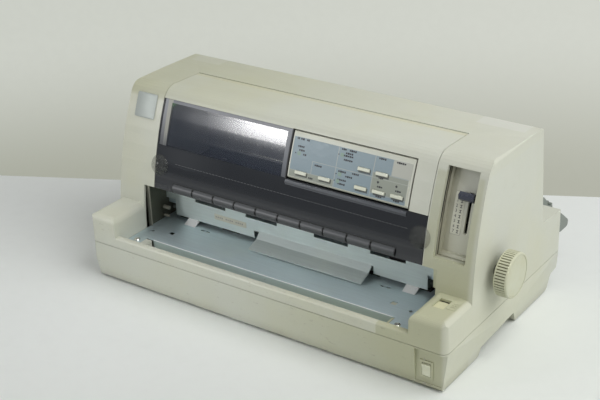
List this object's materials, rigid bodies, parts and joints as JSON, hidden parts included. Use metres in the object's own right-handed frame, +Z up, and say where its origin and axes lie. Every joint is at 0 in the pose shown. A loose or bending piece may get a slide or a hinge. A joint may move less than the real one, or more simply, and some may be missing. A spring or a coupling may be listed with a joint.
{
  "type": "dot matrix printer",
  "caption": "Desktop impact printer with a hinged smoked cover, sloping button panel, flat front paper tray, thickness lever, side knob and rear tractor unit.",
  "frame": {"origin": "centre of the footprint at table height, under the middle of the bounding box", "axes": "+X to the printer's right seen from its front, where the paper knob is; +Y from the front towards the rear; +Z up"},
  "size_m": [0.4876, 0.319, 0.216],
  "materials": {
    "case_plastic": "fine moulded grain, yellowed on the upper faces",
    "lid_plastic": "fine moulded grain",
    "smoke_plastic": "smoked translucent, with a clearer polished window",
    "clear_plastic": "clear",
    "panel_print": "printed foil",
    "button_plastic": "smooth",
    "knob_plastic": "smooth, a little more yellowed than the case",
    "zinc_sheet": "zinc plated sheet with a faint blue cast",
    "steel": "ground steel",
    "dark_plastic": "glass filled, dark",
    "lever_plastic": "dark blue grey",
    "grey_plastic": "mid grey",
    "gear_plastic": "natural, self lubricating",
    "felt": "pale pads",
    "rubber": "matte",
    "circuit_board": "solder resist",
    "motor_steel": "satin",
    "brass": "machined"
  },
  "bodies": {
    "chassis": {"bottom_case": "case_plastic", "top_case": "case_plastic", "rubber_feet": "rubber", "tray_plate": "zinc_sheet", "guide_plate": "zinc_sheet", "paper_pads": "felt", "tray_screws": "steel", "side_plate_left": "zinc_sheet", "side_plate_right": "zinc_sheet", "front_rail": "zinc_sheet", "rear_rail": "zinc_sheet", "carriage_shaft": "steel", "platen_bar": "dark_plastic", "timing_belt": "rubber", "carriage_motor": "motor_steel", "feed_motor": "motor_steel", "main_board": "circuit_board", "power_supply": "circuit_board", "power_inlet": "dark_plastic", "interface_port": "steel", "control_panel": "case_plastic", "panel_overlay": "panel_print", "switch_housing": "case_plastic", "tractor_frame": "grey_plastic"},
    "cover": {"cover_lid": "lid_plastic", "cover_shield": "smoke_plastic", "cover_tabs": "clear_plastic"},
    "knob": {"platen_knob": "knob_plastic", "knob_shaft": "steel"},
    "knob_idler": {"knob_idler_gear": "gear_plastic"},
    "front_feed": {"front_feed_shaft": "steel", "front_feed_rollers": "rubber"},
    "middle_idler": {"middle_idler_gear": "gear_plastic"},
    "rear_feed": {"rear_feed_shaft": "steel", "rear_feed_rollers": "rubber"},
    "front_pinch": {"front_pinch_rollers": "grey_plastic"},
    "rear_pinch": {"rear_pinch_rollers": "grey_plastic"},
    "pinion": {"motor_pinion": "brass"},
    "carriage": {"carriage": "dark_plastic", "print_head": "motor_steel", "ribbon_cartridge": "dark_plastic"},
    "drive_pulley": {"drive_pulley": "gear_plastic"},
    "idler_pulley": {"idler_pulley": "gear_plastic"},
    "lever": {"thickness_lever": "lever_plastic"},
    "slider": {"release_slider": "button_plastic"},
    "rocker": {"power_rocker": "button_plastic"},
    "tractor_shaft": {"tractor_shaft": "steel"},
    "tractor_left": {"tractor_left": "grey_plastic"},
    "tractor_right": {"tractor_right": "grey_plastic"},
    "pin_wheel_left": {"pin_wheel_left": "gear_plastic"},
    "pin_wheel_right": {"pin_wheel_right": "gear_plastic"},
    "tractor_lid_left": {"tractor_lid_left": "grey_plastic"},
    "tractor_lid_right": {"tractor_lid_right": "grey_plastic"},
    "button_1": {"panel_button_1": "button_plastic"},
    "button_2": {"panel_button_2": "button_plastic"},
    "button_3": {"panel_button_3": "button_plastic"},
    "button_4": {"panel_button_4": "button_plastic"},
    "button_5": {"panel_button_5": "button_plastic"},
    "button_6": {"panel_button_6": "button_plastic"},
    "button_7": {"panel_button_7": "button_plastic"}
  },
  "joints": [
    {"name": "cover_hinge", "type": "hinge", "parent": "chassis", "child": "cover", "pos_m": [-0.01125, -0.014, 0.21146], "axis": [-1, 0, 0], "range_deg": [0, 80]},
    {"name": "front_feed_spin", "type": "hinge", "parent": "chassis", "child": "front_feed", "pos_m": [-0.01125, -0.056, 0.0411], "axis": [1, 0, 0], "continuous": true},
    {"name": "knob_spin", "type": "hinge", "parent": "chassis", "child": "knob", "pos_m": [0.23325, -0.056, 0.0943], "axis": [1, 0, 0], "continuous": true},
    {"name": "knob_idler_spin", "type": "hinge", "parent": "chassis", "child": "knob_idler", "pos_m": [0.18225, -0.056, 0.0672], "axis": [1, 0, 0], "continuous": true},
    {"name": "middle_idler_spin", "type": "hinge", "parent": "chassis", "child": "middle_idler", "pos_m": [0.18225, -0.0314, 0.0411], "axis": [1, 0, 0], "continuous": true},
    {"name": "rear_feed_spin", "type": "hinge", "parent": "chassis", "child": "rear_feed", "pos_m": [-0.01125, -0.0068, 0.0411], "axis": [1, 0, 0], "continuous": true},
    {"name": "motor_spin", "type": "hinge", "parent": "chassis", "child": "pinion", "pos_m": [0.18225, 0.01006, 0.03213], "axis": [1, 0, 0], "continuous": true},
    {"name": "front_pinch_spin", "type": "hinge", "parent": "chassis", "child": "front_pinch", "pos_m": [-0.01125, -0.056, 0.05715], "axis": [1, 0, 0], "continuous": true},
    {"name": "rear_pinch_spin", "type": "hinge", "parent": "chassis", "child": "rear_pinch", "pos_m": [-0.01125, -0.0068, 0.05715], "axis": [1, 0, 0], "continuous": true},
    {"name": "carriage_slide", "type": "slide", "parent": "chassis", "child": "carriage", "axis": [1, 0, 0], "range_m": [-0.275, 0]},
    {"name": "drive_pulley_spin", "type": "hinge", "parent": "chassis", "child": "drive_pulley", "pos_m": [-0.18125, 0.0122, 0.088], "axis": [0, 1, 0], "continuous": true},
    {"name": "idler_pulley_spin", "type": "hinge", "parent": "chassis", "child": "idler_pulley", "pos_m": [0.15875, 0.0122, 0.088], "axis": [0, 1, 0], "continuous": true},
    {"name": "lever_swing", "type": "hinge", "parent": "chassis", "child": "lever", "pos_m": [0.19825, -0.02071, 0.14318], "axis": [1, 0, 0], "range_deg": [0, 31]},
    {"name": "release_slide", "type": "slide", "parent": "chassis", "child": "slider", "axis": [0, 1, 0], "range_m": [0, 0.0048]},
    {"name": "button_1_press", "type": "slide", "parent": "chassis", "child": "button_1", "axis": [0, 0.9524, -0.3048], "range_m": [0, 0.0015], "stiffness_N_per_m": 300, "springref_m": -0.001},
    {"name": "button_2_press", "type": "slide", "parent": "chassis", "child": "button_2", "axis": [0, 0.9522, -0.3053], "range_m": [0, 0.0015], "stiffness_N_per_m": 300, "springref_m": -0.001},
    {"name": "button_3_press", "type": "slide", "parent": "chassis", "child": "button_3", "axis": [0, 0.9355, -0.3534], "range_m": [0, 0.0015], "stiffness_N_per_m": 300, "springref_m": -0.001},
    {"name": "button_4_press", "type": "slide", "parent": "chassis", "child": "button_4", "axis": [0, 0.9519, -0.3064], "range_m": [0, 0.0015], "stiffness_N_per_m": 300, "springref_m": -0.001},
    {"name": "button_5_press", "type": "slide", "parent": "chassis", "child": "button_5", "axis": [0, 0.9356, -0.3529], "range_m": [0, 0.0015], "stiffness_N_per_m": 300, "springref_m": -0.001},
    {"name": "button_6_press", "type": "slide", "parent": "chassis", "child": "button_6", "axis": [0, 0.9515, -0.3076], "range_m": [0, 0.0015], "stiffness_N_per_m": 300, "springref_m": -0.001},
    {"name": "button_7_press", "type": "slide", "parent": "chassis", "child": "button_7", "axis": [0, 0.9513, -0.3081], "range_m": [0, 0.0015], "stiffness_N_per_m": 300, "springref_m": -0.001},
    {"name": "rocker_tilt", "type": "hinge", "parent": "chassis", "child": "rocker", "pos_m": [0.19775, -0.1525, 0.0224], "axis": [1, 0, 0], "range_deg": [-13, 0]},
    {"name": "tractor_spin", "type": "hinge", "parent": "chassis", "child": "tractor_shaft", "pos_m": [-0.01125, 0.1245, 0.07], "axis": [1, 0, 0], "continuous": true},
    {"name": "tractor_left_slide", "type": "slide", "parent": "chassis", "child": "tractor_left", "axis": [1, 0, 0], "range_m": [-0.04, 0.05]},
    {"name": "pin_wheel_left_spin", "type": "hinge", "parent": "tractor_left", "child": "pin_wheel_left", "pos_m": [-0.14125, 0.1245, 0.07], "axis": [1, 0, 0], "continuous": true},
    {"name": "tractor_lid_left_hinge", "type": "hinge", "parent": "tractor_left", "child": "tractor_lid_left", "pos_m": [-0.13925, 0.1325, 0.0835], "axis": [-1, 0, 0], "range_deg": [0, 90]},
    {"name": "tractor_right_slide", "type": "slide", "parent": "chassis", "child": "tractor_right", "axis": [1, 0, 0], "range_m": [-0.126, 0.004]},
    {"name": "pin_wheel_right_spin", "type": "hinge", "parent": "tractor_right", "child": "pin_wheel_right", "pos_m": [0.18475, 0.1245, 0.07], "axis": [1, 0, 0], "continuous": true},
    {"name": "tractor_lid_right_hinge", "type": "hinge", "parent": "tractor_right", "child": "tractor_lid_right", "pos_m": [0.18275, 0.1325, 0.0835], "axis": [-1, 0, 0], "range_deg": [0, 90]}
  ],
  "couplings": [
    {"joint": "knob_spin", "follows": "front_feed_spin", "ratio": 0.92857},
    {"joint": "knob_idler_spin", "follows": "front_feed_spin", "ratio": -1},
    {"joint": "middle_idler_spin", "follows": "front_feed_spin", "ratio": -1.1304},
    {"joint": "rear_feed_spin", "follows": "front_feed_spin", "ratio": 1},
    {"joint": "motor_spin", "follows": "front_feed_spin", "ratio": -2.1667},
    {"joint": "front_pinch_spin", "follows": "front_feed_spin", "ratio": -1.6167},
    {"joint": "rear_pinch_spin", "follows": "front_feed_spin", "ratio": -1.6167},
    {"joint": "drive_pulley_spin", "follows": "carriage_slide", "rad_per_m": -120.48},
    {"joint": "idler_pulley_spin", "follows": "carriage_slide", "rad_per_m": -120.48},
    {"joint": "pin_wheel_left_spin", "follows": "tractor_spin", "ratio": 1},
    {"joint": "pin_wheel_right_spin", "follows": "tractor_spin", "ratio": 1}
  ]
}
